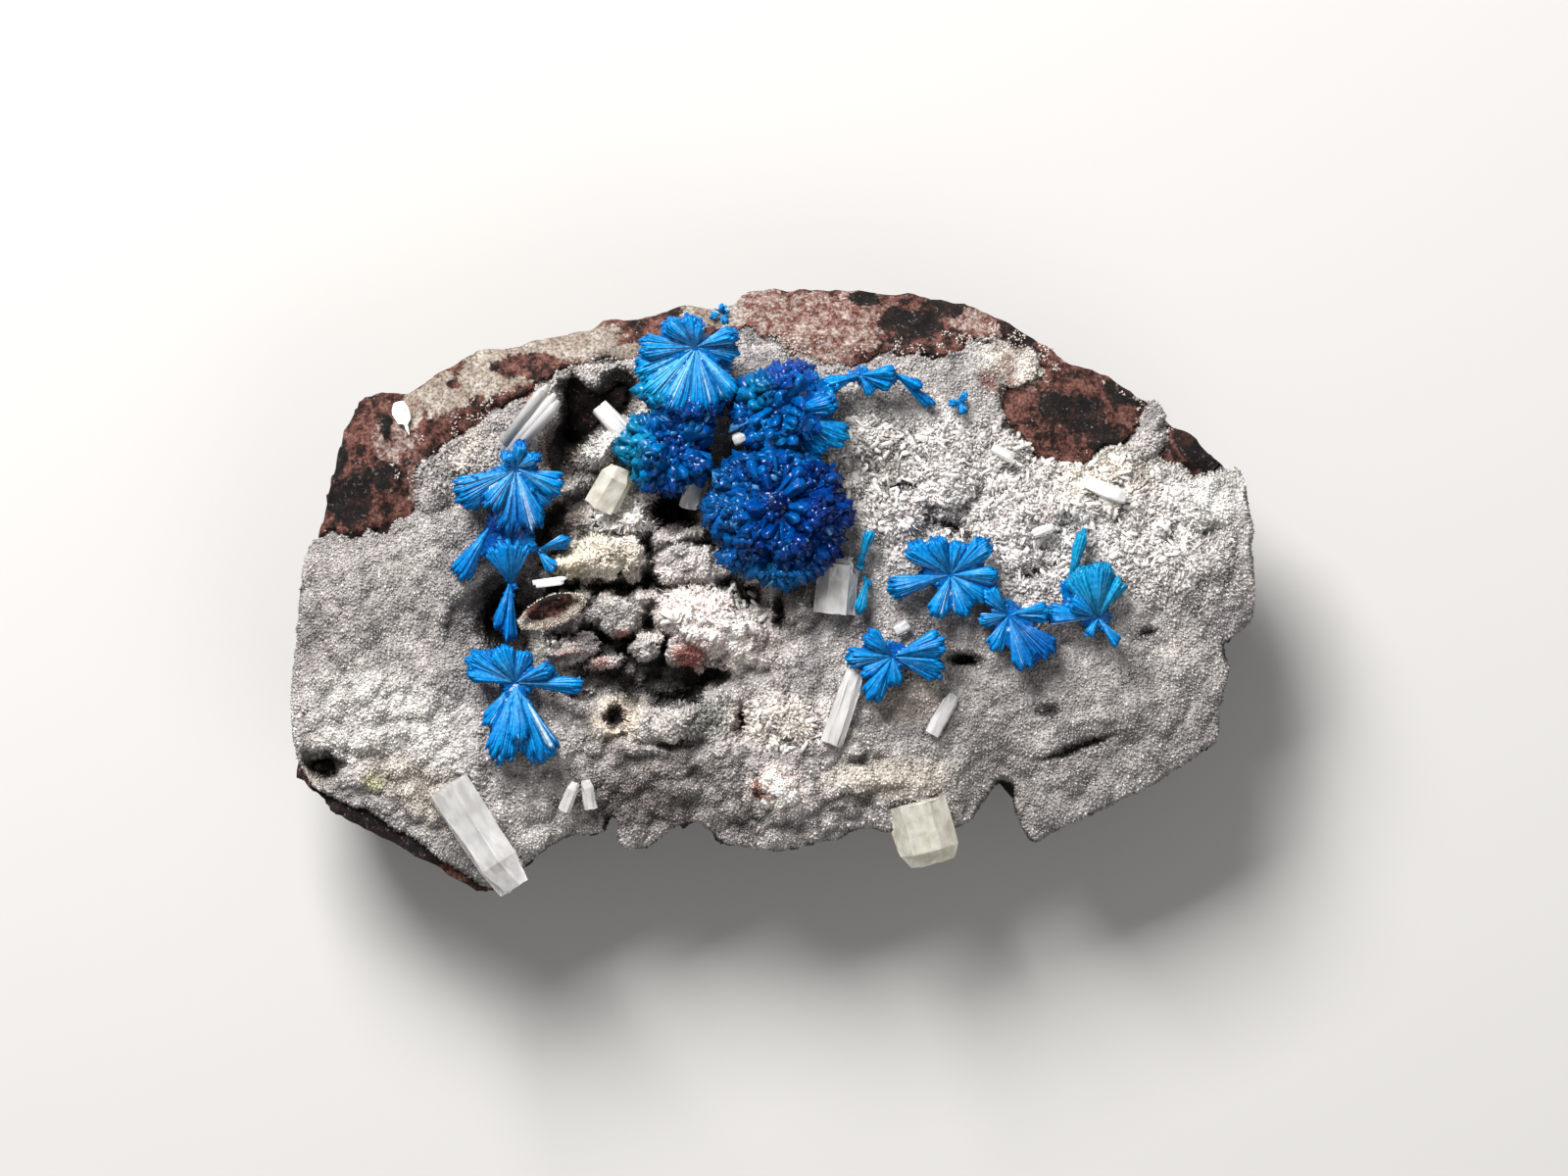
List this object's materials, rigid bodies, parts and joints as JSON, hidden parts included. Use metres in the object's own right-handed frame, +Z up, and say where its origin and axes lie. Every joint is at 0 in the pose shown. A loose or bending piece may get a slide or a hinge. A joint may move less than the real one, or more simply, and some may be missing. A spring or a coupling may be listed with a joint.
{
  "type": "cavansite mineral specimen",
  "caption": "Blue cavansite rosettes with clear calcite and stilbite crystals on a pale druse crust over a flat-based slab of red-brown basalt.",
  "frame": {"origin": "middle of the specimen's extent, on the plane it rests on", "axes": "+X along the specimen's length, to its right; +Y to the bare upper edge; +Z up out of the druse face with the blue crystals"},
  "size_m": [0.099, 0.0628, 0.0283],
  "materials": {
    "basalt": "broken, dull, with fine pores",
    "druse": "sparkling crust of tiny crystals",
    "cavansite": "glassy sheaves of fine blue crystals",
    "deep_cavansite": "glassy, deep blue, densely grown",
    "colourless_stilbite": "glassy, slightly milky",
    "white_stilbite": "pearly white",
    "colourless_calcite": "glassy with flat faces",
    "white_calcite": "opaque white",
    "yellow_calcite": "translucent pale yellow"
  },
  "bodies": {
    "root": {"basalt_matrix": "basalt", "basalt_shell_fragment": "basalt", "druse_crust": "druse", "cavansite_left_rosette": "cavansite", "cavansite_lower_bowtie": "cavansite", "cavansite_top_rosette": "cavansite", "cavansite_central_cluster": "deep_cavansite", "cavansite_right_rosettes": "cavansite", "cavansite_front_rosette": "cavansite", "cavansite_upper_blade": "cavansite", "cavansite_lower_blade": "cavansite", "cavansite_top_spray": "cavansite", "cavansite_right_spray": "cavansite", "stilbite_blade_left": "colourless_stilbite", "stilbite_blade_right": "colourless_stilbite", "calcite_yellow_hollow": "yellow_calcite", "calcite_plate_dark": "colourless_calcite", "calcite_cube": "colourless_calcite", "calcite_stub_white": "white_calcite", "calcite_block_middle": "colourless_calcite", "stilbite_rounded": "colourless_stilbite", "calcite_plate_front": "colourless_calcite", "calcite_square": "colourless_calcite", "calcite_yellow_edge": "yellow_calcite", "calcite_prism_corner": "colourless_calcite", "stilbite_pair_left": "colourless_stilbite", "stilbite_pair_right": "colourless_stilbite", "stilbite_tabular_upper": "white_stilbite", "stilbite_tabular_middle": "white_stilbite", "stilbite_tabular_small": "white_stilbite", "calcite_white_spot": "white_calcite"}
  },
  "joints": []
}
